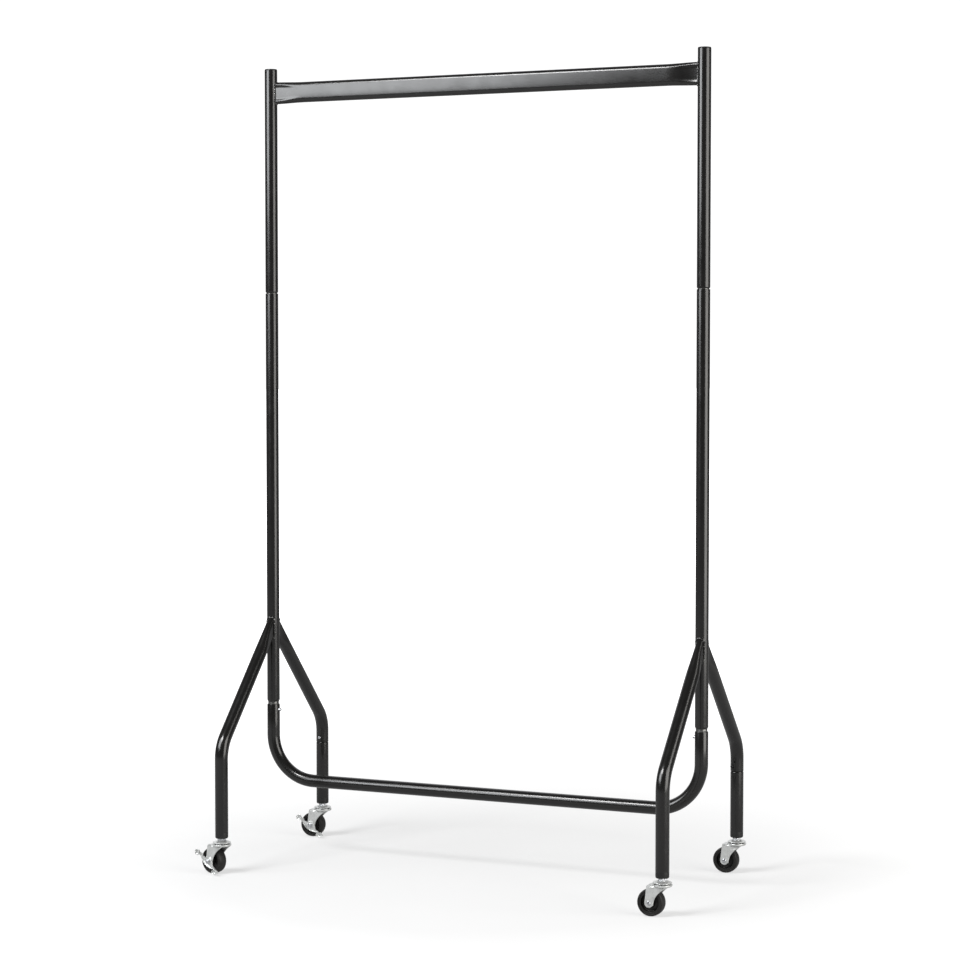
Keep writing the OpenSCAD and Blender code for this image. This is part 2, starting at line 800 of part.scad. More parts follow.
top_bar();
left_upper_upright();
right_upper_upright();
upper_end_caps();
top_bar_welds();
left_lower_upright();
right_lower_upright();
base_rail();
front_left_leg();
rear_left_leg();
rear_left_foot();
front_right_leg();
rear_right_leg();
rear_right_foot();
leg_welds();
castor_sockets();
castor_stems();
castor_top_races();
button_springs();
left_base_button();
right_base_button();
left_leg_button();
right_leg_button();
front_left_fork();
rear_left_fork();
front_right_fork();
rear_right_fork();
front_left_race_balls();
rear_left_race_balls();
front_right_race_balls();
rear_right_race_balls();
front_left_axle();
rear_left_axle();
front_right_axle();
rear_right_axle();
front_left_bush();
rear_left_bush();
front_right_bush();
rear_right_bush();
front_left_wheel();
rear_left_wheel();
front_right_wheel();
rear_right_wheel();
front_left_tyre();
rear_left_tyre();
front_right_tyre();
rear_right_tyre();
front_left_brake_lever();
rear_left_brake_lever();
front_left_brake_cam();
rear_left_brake_cam();
front_left_axle_nut();
rear_left_axle_nut();
front_right_axle_nut();
rear_right_axle_nut();
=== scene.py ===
import json
import math

import bmesh
import bpy
from mathutils import Matrix, Vector, noise


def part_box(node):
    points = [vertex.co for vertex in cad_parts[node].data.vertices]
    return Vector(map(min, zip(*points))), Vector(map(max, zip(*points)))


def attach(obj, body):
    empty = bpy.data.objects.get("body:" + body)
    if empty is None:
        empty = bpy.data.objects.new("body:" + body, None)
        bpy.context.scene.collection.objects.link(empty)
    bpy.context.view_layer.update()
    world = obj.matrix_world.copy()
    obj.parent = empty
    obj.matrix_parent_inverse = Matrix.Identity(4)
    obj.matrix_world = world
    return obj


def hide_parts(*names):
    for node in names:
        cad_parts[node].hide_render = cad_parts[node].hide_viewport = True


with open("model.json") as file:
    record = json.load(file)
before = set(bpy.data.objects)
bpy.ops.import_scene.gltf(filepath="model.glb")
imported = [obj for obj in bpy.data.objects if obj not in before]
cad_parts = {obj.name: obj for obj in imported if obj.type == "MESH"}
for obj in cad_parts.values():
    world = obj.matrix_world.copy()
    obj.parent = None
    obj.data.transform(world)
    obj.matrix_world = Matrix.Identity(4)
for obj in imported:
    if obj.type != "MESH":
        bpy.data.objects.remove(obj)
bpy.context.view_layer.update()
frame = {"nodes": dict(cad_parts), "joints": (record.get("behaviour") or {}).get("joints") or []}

# Everything below is drawn in millimetres in a local frame and placed by a matrix.
MM = 0.001
SIDES = ("left", "right")
ENDS = ("front", "rear")
joints = {j["name"]: j for j in frame["joints"]}
HERE = Matrix.Identity(4)  # for points that are already in the rack's own axes


# ---- places taken from the frame ----

def low(node):
    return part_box(node)[0] / MM


def high(node):
    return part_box(node)[1] / MM


def middle(node):
    return (low(node) + high(node)) / 2


side_x = {s: middle(s + "_lower_upright").x for s in SIDES}
mid_y = middle("left_lower_upright").y
tube_r = (high("left_lower_upright").x - low("left_lower_upright").x) / 2
tube_wall = 1.8
bore_r = tube_r - tube_wall
spigot_r = bore_r - 0.05
cap_z = high("left_upper_upright").z
top_z = high("upper_end_caps").z
mid_z = high("left_lower_upright").z
base_z = high("base_rail").z
rail_z = low("base_rail").z + tube_r
rail_bend = 90.0
socket_low = low("castor_sockets").z
socket_top = low("front_left_leg").z
seam_z = low("rear_left_leg").z
axle_z = joints["front_left_roll"]["pos_m"][2] / MM
leg_y = joints["rear_left_swivel"]["pos_m"][1] / MM - mid_y
bar_z = middle("top_bar").z


def upright_place(side):
    return Matrix.Translation((side_x[side], mid_y, 0))


def leg_place(side, end):
    """The leg's foot is at the origin and it leans towards -Y."""
    turn = Matrix.Identity(4) if end == "rear" else Matrix.Diagonal((1, -1, 1, 1))
    return upright_place(side) @ turn @ Matrix.Translation((0, leg_y, 0))


def castor_place(side, end):
    """Swivel axis on Z at the origin, the wheel trailing to -X, the brake side on -Y."""
    x, y, _ = joints[f"{end}_{side}_swivel"]["pos_m"]
    ax, ay, _ = joints[f"{end}_{side}_roll"]["axis"]
    return Matrix.Translation((x / MM, y / MM, 0)) @ Matrix.Rotation(math.atan2(ax, -ay), 4, "Z")


trail = (
    Vector(joints["rear_left_swivel"]["pos_m"][:2]) - Vector(joints["rear_left_roll"]["pos_m"][:2])
).length / MM
AXLE = Matrix.Translation((-trail, 0, axle_z))
# local Z of this frame points to the brake side, local X forwards
BRAKE_SIDE = Matrix.Rotation(math.radians(90), 4, "X")


# ---- mesh tools ----

def new_object(name, verts, faces, place, dissolve=True):
    """An object whose mesh is welded, free of slivers and faces outwards."""
    mesh = bpy.data.meshes.new(name)
    mesh.from_pydata([(place @ Vector(v)) * MM for v in verts], [], faces)
    bm = bmesh.new()
    bm.from_mesh(mesh)
    bmesh.ops.remove_doubles(bm, verts=bm.verts, dist=2e-6)
    if dissolve:
        bmesh.ops.dissolve_degenerate(bm, edges=bm.edges, dist=1e-7)
    bmesh.ops.recalc_face_normals(bm, faces=bm.faces)
    bm.to_mesh(mesh)
    bm.free()
    ob = bpy.data.objects.new(name, mesh)
    bpy.context.scene.collection.objects.link(ob)
    return ob


def piece(name, verts, faces, place, body, material, replaces, sharp=38):
    """A visible piece: it rides on a body, stands in for CAD nodes and fills a material slot."""
    ob = new_object(name, verts, faces, place)
    shade(ob, sharp)
    ob.data.materials.append(material)
    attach(ob, body)
    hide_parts(*replaces)
    return ob


def shade(ob, sharp=38):
    ob.data.polygons.foreach_set("use_smooth", [True] * len(ob.data.polygons))
    ob.data.set_sharp_from_angle(angle=math.radians(sharp))


def bake(ob, sharp=38):
    """Turns the object's modifiers into its mesh."""
    bpy.context.view_layer.update()
    dg = bpy.context.evaluated_depsgraph_get()
    mesh = bpy.data.meshes.new_from_object(ob.evaluated_get(dg))
    ob.modifiers.clear()
    ob.data = mesh
    shade(ob, sharp)


def cut(ob, verts, faces, place):
    """Cuts a closed shape out of a piece."""
    tool = new_object("cutter", verts, faces, place, dissolve=False)
    mesh = tool.data
    mod = ob.modifiers.new("cut", "BOOLEAN")
    mod.operation, mod.solver, mod.object = "DIFFERENCE", "EXACT", tool
    bake(ob)
    bpy.data.objects.remove(tool)
    bpy.data.meshes.remove(mesh)


def bevel(ob, width, angle, sharp):
    """Rounds the object's sharp edges and bakes its modifiers."""
    mod = ob.modifiers.new("edges", "BEVEL")
    mod.width, mod.segments, mod.limit_method = width * MM, 2, "ANGLE"
    mod.angle_limit = math.radians(angle)
    bake(ob, sharp)


def loft(rings, loop=False):
    """Skins closed rings of the same number of points, with flat ends unless they form a loop."""
    n, m = len(rings[0]), len(rings)
    verts = [tuple(v) for ring in rings for v in ring]
    faces = []
    for i in range(m if loop else m - 1):
        k = (i + 1) % m
        for j in range(n):
            j2 = (j + 1) % n
            faces.append((i * n + j, i * n + j2, k * n + j2, k * n + j))
    if not loop:
        faces.append(tuple(reversed(range(n))))
        faces.append(tuple(range((m - 1) * n, m * n)))
    return verts, faces


def soften(points, steps=5):
    """Rounds the corners of a closed outline. A point may carry its own radius."""
    out = []
    for i, p in enumerate(points):
        r = p[2] if len(p) > 2 else 0.25
        here = Vector(p[:2])
        a = Vector(points[i - 1][:2]) - here
        b = Vector(points[(i + 1) % len(points)][:2]) - here
        if r <= 0 or a.length < 1e-6 or b.length < 1e-6:
            out.append(tuple(here))
            continue
        half = a.angle(b) / 2
        reach = min(r / max(math.tan(half), 1e-3), 0.48 * a.length, 0.48 * b.length)
        start, end = here + a.normalized() * reach, here + b.normalized() * reach
        for k in range(steps + 1):
            t = k / steps
            out.append(tuple(start * (1 - t) ** 2 + here * 2 * t * (1 - t) + end * t * t))
    return out


def lathe(outline, segments=72, steps=5):
    """Spins a closed outline of (radius, height) points round Z."""
    outline = soften(outline, steps)
    rings = []
    for i in range(segments):
        a = 2 * math.pi * i / segments
        c, s = math.cos(a), math.sin(a)
        rings.append([(r * c, r * s, z) for r, z in outline])
    return loft(rings, loop=True)


def hexagon(across, z0, z1, chamfer, segments=72, hole=None):
    """A hexagonal prism with its corners chamfered at both ends, and a bore if one is asked for."""

    def ring(z, limit):
        pts = []
        for i in range(segments):
            a = 2 * math.pi * i / segments
            r = across / 2 / math.cos((a + math.pi / 6) % (math.pi / 3) - math.pi / 6)
            r = min(r, limit)
            pts.append((r * math.cos(a), r * math.sin(a), z))
        return pts

    low_r, wide = across / 2 - 0.1, across / 2 * 1.16
    rings = [ring(z0, low_r), ring(z0 + 0.15, low_r + 0.25), ring(z0 + chamfer, wide),
             ring(z1 - chamfer, wide), ring(z1 - 0.15, low_r + 0.25), ring(z1, low_r)]
    if hole:
        rings += [ring(z1, hole), ring(z1 - 0.4, hole - 0.25), ring(z0, hole - 0.25)]
        return loft(rings, loop=True)
    return loft(rings)


def oval(height, thickness, arc=20):
    """A flat-sided oval as (across, up) points; a circle when height equals thickness."""
    r = thickness / 2
    flat = max(height / 2 - r, 0.06)
    keep = min(0.5, flat / 3)
    pts = [(r, flat - keep)]
    pts += [(r * math.cos(math.pi * k / arc), flat + r * math.sin(math.pi * k / arc))
            for k in range(arc + 1)]
    pts += [(-r, flat - keep), (-r, -flat + keep)]
    pts += [(-r * math.cos(math.pi * k / arc), -flat - r * math.sin(math.pi * k / arc))
            for k in range(arc + 1)]
    pts += [(r, -flat + keep)]
    return pts


def ease(t):
    """0 to 1 with a smooth start and end."""
    t = min(1.0, max(0.0, t))
    return t * t * (3 - 2 * t)


def sweep(centres, radius, side, points=64, squeeze=None):
    """Rings of a round tube along a path; side stays square to the path."""
    rings = []
    for i, c in enumerate(centres):
        a = centres[max(i - 1, 0)]
        b = centres[min(i + 1, len(centres) - 1)]
        along = (b - a).normalized()
        across = side.cross(along).normalized()
        across2 = along.cross(across).normalized()
        ring = []
        for k in range(points):
            t = 2 * math.pi * k / points
            u, v = math.cos(t), math.sin(t)
            r = radius * (squeeze(i, t) if squeeze else 1.0)
            ring.append(c + across2 * (r * u) + across * (r * v))
        rings.append(ring)
    return rings


def tube(outer, inner):
    """A closed tube wall from its outer and inner rings."""
    return loft(outer + inner[::-1], loop=True)


def rod(r, z0, z1, segments=32):
    """A plain pin along Z, used only to cut with."""
    rings = []
    for z in (z0, z1):
        rings.append([(r * math.cos(2 * math.pi * k / segments),
                       r * math.sin(2 * math.pi * k / segments), z) for k in range(segments)])
    return loft(rings)


def joined(parts):
    """Several (verts, faces) shapes as one."""
    verts, faces = [], []
    for v, f in parts:
        base = len(verts)
        verts += [tuple(p) for p in v]
        faces += [tuple(i + base for i in face) for face in f]
    return verts, faces


def moved(part, place):
    return [tuple(place @ Vector(v)) for v in part[0]], part[1]


# ---- materials ----

class Graph:
    """A short way to write a node material."""

    def __init__(self, name):
        self.mat = bpy.data.materials.new(name)
        self.mat.use_nodes = True
        self.tree = self.mat.node_tree
        self.bsdf = self.tree.nodes["Principled BSDF"]
        self.where = self.add("ShaderNodeTexCoord").outputs["Object"]

    def add(self, kind, **values):
        node = self.tree.nodes.new(kind)
        for key, value in values.items():
            setattr(node, key, value)
        return node

    def link(self, a, b):
        self.tree.links.new(a, b)

    def noise(self, scale, detail=3.0, rough=0.55, stretch=None, seed=0.0):
        """A noise texture of so many cells per metre."""
        place = self.where
        if stretch or seed:
            mapping = self.add("ShaderNodeMapping")
            mapping.inputs["Scale"].default_value = stretch or (1, 1, 1)
            mapping.inputs["Location"].default_value = (seed, seed * 1.7, seed * 0.6)
            self.link(self.where, mapping.inputs["Vector"])
            place = mapping.outputs["Vector"]
        node = self.add("ShaderNodeTexNoise")
        node.inputs["Scale"].default_value = scale
        node.inputs["Detail"].default_value = detail
        node.inputs["Roughness"].default_value = rough
        self.link(place, node.inputs["Vector"])
        return node.outputs["Fac"]

    def ramp(self, value, stops):
        """A value as a colour, from (position, colour) stops."""
        node = self.add("ShaderNodeValToRGB")
        ramp = node.color_ramp
        while len(ramp.elements) < len(stops):
            ramp.elements.new(0.5)
        for element, (at, colour) in zip(ramp.elements, stops):
            element.position = at
            element.color = (*colour, 1)
        self.link(value, node.inputs["Fac"])
        return node.outputs["Color"]

    def spread(self, value, low, high, from_low=0.3, from_high=0.7):
        """A value mapped to the range low to high."""
        node = self.add("ShaderNodeMapRange")
        node.inputs["From Min"].default_value = from_low
        node.inputs["From Max"].default_value = from_high
        node.inputs["To Min"].default_value = low
        node.inputs["To Max"].default_value = high
        self.link(value, node.inputs["Value"])
        return node.outputs["Result"]

    def total(self, a, b):
        """Two colours added together."""
        node = self.add("ShaderNodeMix", data_type="RGBA", blend_type="ADD")
        node.inputs["Factor"].default_value = 1.0
        self.link(a, node.inputs["A"])
        self.link(b, node.inputs["B"])
        return node.outputs["Result"]

    def bump(self, value, strength, distance, under=None):
        node = self.add("ShaderNodeBump")
        node.inputs["Strength"].default_value = strength
        node.inputs["Distance"].default_value = distance
        self.link(value, node.inputs["Height"])
        if under is not None:
            self.link(under, node.inputs["Normal"])
        return node.outputs["Normal"]

    def set(self, **inputs):
        for key, value in inputs.items():
            socket = self.bsdf.inputs[key.replace("_", " ")]
            if isinstance(value, bpy.types.NodeSocket):
                self.link(value, socket)
            else:
                socket.default_value = value
        return self.mat


def powder_coat(name, dark, light, gloss, spatter_and_glint_level=None):
    """Satin black powder coat: a faint orange peel, patchy gloss and a few specks of dust; over a weld
    also bright spots, partly bare spatter and partly painted glints.
    """
    g = Graph(name)
    tone = g.ramp(g.noise(7, 4, 0.6, stretch=(1, 1, 0.4)), [(0.3, dark), (0.7, light)])
    speck = g.ramp(g.noise(1900, 1, 0.4), [(0.78, (0, 0, 0)), (0.82, (0.03, 0.03, 0.03))])
    colour = g.total(tone, speck)
    if spatter_and_glint_level:
        # bright spots over a weld: partly spatter and thin spots of bare metal, partly painted glints
        # standing in for the light the bead's lumps catch
        spatter_and_glints = g.ramp(g.noise(520, 2, 0.5),
                       [(spatter_and_glint_level, (0, 0, 0)), (spatter_and_glint_level + 0.03, (0.75, 0.75, 0.73))])
        colour = g.total(colour, spatter_and_glints)
    rough = g.spread(g.noise(26, 4, 0.6), gloss - 0.04, gloss + 0.05)
    peel = g.bump(g.noise(420, 2, 0.5), 0.022, 0.0003)
    slow = g.bump(g.noise(40, 2, 0.5), 0.02, 0.0010, under=peel)
    return g.set(Base_Color=colour, Roughness=rough, Normal=slow, IOR=1.5)


def zinc(name, dark, light, rough_low, rough_high, streak=(1, 1, 1), metallic=1.0):
    """Bright zinc plate: cloudy brightness, fine scratches and a little haze."""
    g = Graph(name)
    tone = g.ramp(g.noise(90, 5, 0.65, stretch=streak), [(0.25, dark), (0.75, light)])
    scratch = g.noise(900, 2, 0.6, stretch=(1, 1, 7))
    rough = g.spread(g.noise(160, 4, 0.6, seed=3.1), rough_low, rough_high)
    grain = g.bump(scratch, 0.10, 0.00012)
    dents = g.bump(g.noise(230, 2, 0.5), 0.22, 0.0005, under=grain)
    return g.set(Base_Color=tone, Metallic=metallic, Roughness=rough, Normal=dents)


def plastic(name, dark, light, rough, peel_scale=1500, peel=0.2):
    """Moulded plastic or rubber with a fine grain."""
    g = Graph(name)
    tone = g.ramp(g.noise(60, 4, 0.6), [(0.3, dark), (0.7, light)])
    roughness = g.spread(g.noise(300, 3, 0.6), rough - 0.06, rough + 0.07)
    return g.set(Base_Color=tone, Roughness=roughness, Specular_IOR_Level=0.35,
                 Normal=g.bump(g.noise(peel_scale, 3, 0.6), peel, 0.0003))


paint = powder_coat("black powder coat", (0.0042, 0.0039, 0.0038), (0.0062, 0.0058, 0.0055), 0.22)
# the weld's coat carries bright spots: partly spatter, partly painted glints
weld_paint = powder_coat("powder coat over weld", (0.004, 0.004, 0.004), (0.009, 0.0085, 0.008),
                         0.16, spatter_and_glint_level=0.66)
neck_paint = zinc("worn tube end", (0.05, 0.05, 0.05), (0.30, 0.30, 0.29), 0.24, 0.42, streak=(3, 3, 3))
bright = zinc("zinc pressing", (0.56, 0.57, 0.56), (0.74, 0.75, 0.74), 0.26, 0.40, metallic=0.72)
steel = zinc("zinc fastener", (0.45, 0.46, 0.48), (0.76, 0.77, 0.80), 0.14, 0.30, streak=(2, 2, 2))
ball_steel = zinc("ball steel", (0.40, 0.41, 0.42), (0.62, 0.63, 0.65), 0.08, 0.16)
dark_steel = zinc("blackened button", (0.02, 0.02, 0.022), (0.06, 0.06, 0.062), 0.30, 0.45)
cap_plastic = plastic("cap plastic", (0.008, 0.008, 0.008), (0.014, 0.014, 0.014), 0.36)
socket_plastic = plastic("socket plastic", (0.007, 0.007, 0.007), (0.013, 0.013, 0.013), 0.42)
core_plastic = plastic("wheel core nylon", (0.005, 0.0046, 0.0042), (0.0095, 0.0088, 0.0082), 0.42)
tyre_rubber = plastic("tyre rubber", (0.0055, 0.005, 0.0045), (0.0105, 0.0095, 0.0085), 0.5, 900, 0.3)


# ---- upper frame ----

def drawn_end(z_tip, z_neck, z_top, cone=4.2):
    """A tube with its lower end drawn down into a spigot, as a lathe outline."""
    z_cone = z_neck + cone
    inner = spigot_r - 1.5
    return [(inner, z_tip, 0.3), (spigot_r, z_tip, 0.8), (spigot_r, z_neck, 1.6),
            (tube_r, z_cone, 2.6), (tube_r, z_top, 0.35), (bore_r, z_top, 0.3),
            (bore_r, z_cone + 2, 1), (inner, z_neck + 1, 1)]


def spigot_bands(name, body, node, z0, z1):
    """The rubbed metal that shows in the groove above a joint, on both sides."""
    r = spigot_r + 0.04
    bands = []
    for side in SIDES:
        outline = [(r - 0.5, z0, 0), (r, z0, 0.1), (r + 0.03, (z0 + z1) / 2, 0.4), (r, z1, 0.1),
                   (r - 0.5, z1, 0)]
        bands.append(moved(lathe(outline, 96, 3), upright_place(side)))
    v, f = joined(bands)
    piece(name, v, f, HERE, body, neck_paint,
          ["left_" + node, "right_" + node])


for side in SIDES:
    v, f = lathe(drawn_end(mid_z - 70, mid_z + 1.3, cap_z - 0.05, 2.2), 96)
    piece(side + "_upper_upright_tube", v, f, upright_place(side), "upper_frame", paint,
          [side + "_upper_upright"])
spigot_bands("upper_spigot_bands", "upper_frame", "upper_upright", mid_z + 0.03, mid_z + 1.7)

cap_parts = []
for side in SIDES:
    outline = [(0, cap_z - 11, 0), (bore_r - 0.15, cap_z - 11, 0.8), (bore_r - 0.15, cap_z, 0),
               (tube_r - 0.25, cap_z, 0.35), (tube_r - 0.02, cap_z + 0.9, 1.2),
               (tube_r - 0.7, top_z - 0.35, 2.6), (0, top_z, 0)]
    cap_parts.append(moved(lathe(outline, 96, 8), upright_place(side)))
v, f = joined(cap_parts)
piece("upright_caps", v, f, HERE, "upper_frame", cap_plastic,
      ["upper_end_caps"])

# hanging bar: a flat-sided oval, slightly crowned, whose ends are pressed thin between the
# rounded edges and coped to the uprights
bar_high, bar_thick = 40.5, 18.0
end_high, end_lobe, end_waist = 43.4, 11.5, 8.2
pinch = 60.0
half_rail = (side_x["right"] - side_x["left"]) / 2
centre_x = (side_x["right"] + side_x["left"]) / 2


def pressed(height, lobe, waist, arc=20, flat=14):
    """A flat-sided oval as (across, up) points, its sides pressed in between the edges."""
    crown = 0.4
    r, side = lobe / 2, []
    edge = height / 2 - r
    for i in range(1, flat):
        z = edge * (1 - 2 * i / flat)
        press = ease((edge - abs(z)) / 4.5)
        side.append((r + (waist / 2 - r) * press + crown * (1 - (z / edge) ** 2), z))
    top = [(r * math.cos(math.pi * k / arc), edge + r * math.sin(math.pi * k / arc))
           for k in range(arc + 1)]
    half = top + [(-y, z) for y, z in side]
    return half + [(-y, -z) for y, z in half]


def bar_section(from_end):
    """The bar's section this far from the upright's centre line."""
    t = ease(1 - (from_end - 14) / pinch)
    return pressed(bar_high + (end_high - bar_high) * t, bar_thick + (end_lobe - bar_thick) * t,
                   bar_thick + (end_waist - bar_thick) * t)


def bar_end_x(y, z):
    """How far from the upright's centre line the bar stops; the lower corner is mitred."""
    mitre = max(0.0, -z - (end_high / 2 - 3.6))
    return math.sqrt(max(tube_r ** 2 - y * y, 1.0)) - 0.1 + 1.2 * mitre


bar_rings = []
steps = 16
for sign in (-1, 1):
    half = []
    for i in range(steps + 1):
        # the first ring follows the upright; the rest are closest together near it
        d = 14 + (pinch + 4) * (i / steps) ** 1.15
        ring = []
        for y, z in bar_section(d):
            stop = bar_end_x(y, z)
            x = stop if i == 0 else max(d, stop)
            ring.append((centre_x + sign * (half_rail - x), mid_y + y, bar_z + z))
        half.append(ring)
    bar_rings += half if sign < 0 else half[::-1]
v, f = loft(bar_rings)
piece("hanging_bar", v, f, HERE, "upper_frame", paint, ["top_bar"],
      sharp=50)


def bead(loop, normals, size, ripple, seed, lumps=0.5, points=10):
    """A lumpy weld bead along a closed loop of points lying on a tube's wall."""
    n = len(loop)
    rings = []
    for i in range(n):
        along = (loop[(i + 1) % n] - loop[i - 1]).normalized()
        out = (normals[i] - along * normals[i].dot(along)).normalized()
        across = along.cross(out).normalized()
        wave = abs(math.sin(math.pi * ripple * i / n))
        swell = noise.noise(loop[i] * 0.22 + Vector((seed, 0, 0)))
        r = size * (0.82 + 0.26 * wave ** 0.6 + lumps * swell)
        ring = []
        for k in range(points):
            t = 2 * math.pi * k / points
            ring.append(loop[i] + out * (r * 0.92 * math.sin(t)) + across * (r * math.cos(t)))
        rings.append(ring)
    return loft(rings, loop=True)


def resampled(points, count):
    """The same closed loop with evenly spaced points."""
    lengths = [(points[(i + 1) % len(points)] - p).length for i, p in enumerate(points)]
    total, out, i, done = sum(lengths), [], 0, 0.0
    for k in range(count):
        want = total * k / count
        while done + lengths[i] < want:
            done += lengths[i]
            i += 1
        t = (want - done) / max(lengths[i], 1e-9)
        out.append(points[i].lerp(points[(i + 1) % len(points)], t))
    return out


bar_beads = []
for sign, side in ((-1, "left"), (1, "right")):
    edge = []
    for y, z in pressed(end_high + 0.6, end_lobe + 1.0, end_waist + 1.2):
        stop = math.sqrt(tube_r ** 2 - y * y) - 0.3
        edge.append(Vector((centre_x + sign * (half_rail - stop), mid_y + y, bar_z + z)))
    edge = resampled(edge, 220)
    normals = [Vector((p.x - side_x[side], (p.y - mid_y) * 2.4, (p.z - bar_z) * 0.25)).normalized()
               for p in edge]
    bar_beads.append(bead(edge, normals, 1.9, 23, 5.0 + sign))
v, f = joined(bar_beads)
piece("bar_weld_beads", v, f, HERE, "upper_frame", weld_paint,
      ["top_bar_welds"], sharp=70)


# ---- lower frame ----

base_button_z = middle("left_base_button").z
leg_button_z = middle("left_leg_button").z
foot_turn = {}
for side in SIDES:
    axis = joints[side + "_leg_button_press"]["axis"]
    foot_turn[side] = math.atan2(-axis[1], -axis[0])


def button_frame(side, place):
    """Local X points out through the button's hole."""
    if place == "base":
        turn = Matrix.Rotation(0 if side == "left" else math.pi, 4, "Z")
        return upright_place(side) @ Matrix.Translation((0, 0, base_button_z)) @ turn
    return (leg_place(side, "rear") @ Matrix.Translation((0, 0, leg_button_z))
            @ Matrix.Rotation(foot_turn[side], 4, "Z"))


HOLE = 3.5
ALONG_X = Matrix.Rotation(math.radians(90), 4, "Y")


def drill(ob, at, r=HOLE):
    """A round hole through one wall of a tube, along the frame's X axis."""
    v, f = rod(r, 4.0, 20)
    cut(ob, v, f, at @ ALONG_X)


for side in SIDES:
    v, f = lathe(drawn_end(base_z - 55, base_z + 5, mid_z), 96)
    ob = piece(side + "_lower_upright_tube", v, f, upright_place(side), "frame", paint,
               [side + "_lower_upright"])
    drill(ob, button_frame(side, "base"))


spigot_bands("lower_spigot_bands", "frame", "lower_upright", base_z + 0.03, base_z + 5.6)


def rail_centres():
    """Down the left end, round its bend, along the floor run and up the right end."""
    pts = []
    left, right = side_x["left"], side_x["right"]
    top = rail_z + rail_bend
    pts.append(Vector((left, mid_y, base_z)))
    pts.append(Vector((left, mid_y, base_z - 0.5)))
    pts.append(Vector((left, mid_y, top + 8)))
    for i in range(33):
        a = math.radians(90) * i / 32
        pts.append(Vector((left + rail_bend * (1 - math.cos(a)), mid_y,
                           top - rail_bend * math.sin(a))))
    pts.append(Vector((left + rail_bend + 8, mid_y, rail_z)))
    pts.append(Vector((right - rail_bend - 8, mid_y, rail_z)))
    for i in range(33):
        a = math.radians(90) * (1 - i / 32)
        pts.append(Vector((right - rail_bend * (1 - math.cos(a)), mid_y,
                           top - rail_bend * math.sin(a))))
    pts.append(Vector((right, mid_y, top + 8)))
    pts.append(Vector((right, mid_y, base_z - 0.5)))
    pts.append(Vector((right, mid_y, base_z)))
    return pts


centres = rail_centres()


def rail_squeeze(i, t):
    """A little flattening through each bend, and one faint wrinkle on the inside of the left one."""
    if i in (0, len(centres) - 1):
        return 0.985
    bend = 0.0
    if 3 <= i <= 35:
        bend = math.sin(math.pi * (i - 3) / 32)
    if 38 <= i <= 70:
        bend = math.sin(math.pi * (i - 38) / 32)
    wrinkle = 0.0
    if i <= 35:
        inside = max(0.0, -math.sin(t))
        wrinkle = 0.02 * math.exp(-((i - 33) / 1.3) ** 2) * inside ** 3
    return 1 - 0.022 * bend * abs(math.sin(t)) + 0.008 * bend * abs(math.cos(t)) + wrinkle


BACKWARDS = Vector((0, 1, 0))
outer = sweep(centres, tube_r, BACKWARDS, squeeze=rail_squeeze)
inner = sweep(centres, bore_r, BACKWARDS)
v, f = tube(outer, inner)
ob = piece("base_rail_tube", v, f, HERE, "frame", paint, ["base_rail"],
           sharp=50)
for side in SIDES:
    drill(ob, button_frame(side, "base"))

# legs
splay = math.radians(43.3)
leg_bend = 65.0
bend_z = 225.0
bend_out = leg_bend * (1 - math.cos(splay))
slope_y = leg_y - bend_out
slope_z = bend_z + leg_bend * math.sin(splay)
slope_dir = Vector((0, -math.sin(splay), math.cos(splay)))
slope_up = Vector((0, math.cos(splay), math.sin(splay)))
pinch_wide, pinch_tall = 15.0, 31.4
leg_pinch = 66.0


def to_upright(p):
    """Distance along the leg from p to the upright's wall, in the leg's own frame."""
    y = p.y + leg_y
    target = math.sqrt(max(tube_r ** 2 - p.x ** 2, 0.5))
    return (y - target) / math.sin(splay)


def leg_rings(r, z0, wall):
    """Rings up one leg: straight, round its bend, then up the slope while it is pressed flat."""
    rings = []

    def ring(centre, up, tall, thick):
        return [centre + Vector((x, 0, 0)) + up * h for x, h in oval(tall, thick)]

    for z in ([z0, z0 + 0.5] if z0 < seam_z - 1 else [z0, z0 + 0.4]):
        rings.append(ring(Vector((0, 0, z)), Vector((0, 1, 0)), 2 * r, 2 * r))
    for i in range(15):
        a = splay * i / 14
        c = Vector((0, -leg_bend * (1 - math.cos(a)), bend_z + leg_bend * math.sin(a)))
        up = Vector((0, math.cos(a), math.sin(a)))
        squash = 0.012 * math.sin(math.pi * i / 14) if not wall else 0
        rings.append(ring(c, up, 2 * r * (1 - squash), 2 * r * (1 + squash)))
    start = Vector((0, -bend_out, slope_z))
    run = to_upright(start)
    steps = 18
    d0 = run - leg_pinch
    for i in range(steps + 1):
        s = i / steps
        t = ease(s * 1.18)
        thick = 2 * r + (pinch_wide - 2 * wall - 2 * r) * t
        tall = 2 * r + (pinch_tall - 2 * wall - 2 * r) * t
        rings.append([p + slope_dir * (to_upright(p) * s)
                      for p in ring(start + slope_dir * d0, slope_up, tall, thick)])
    return rings


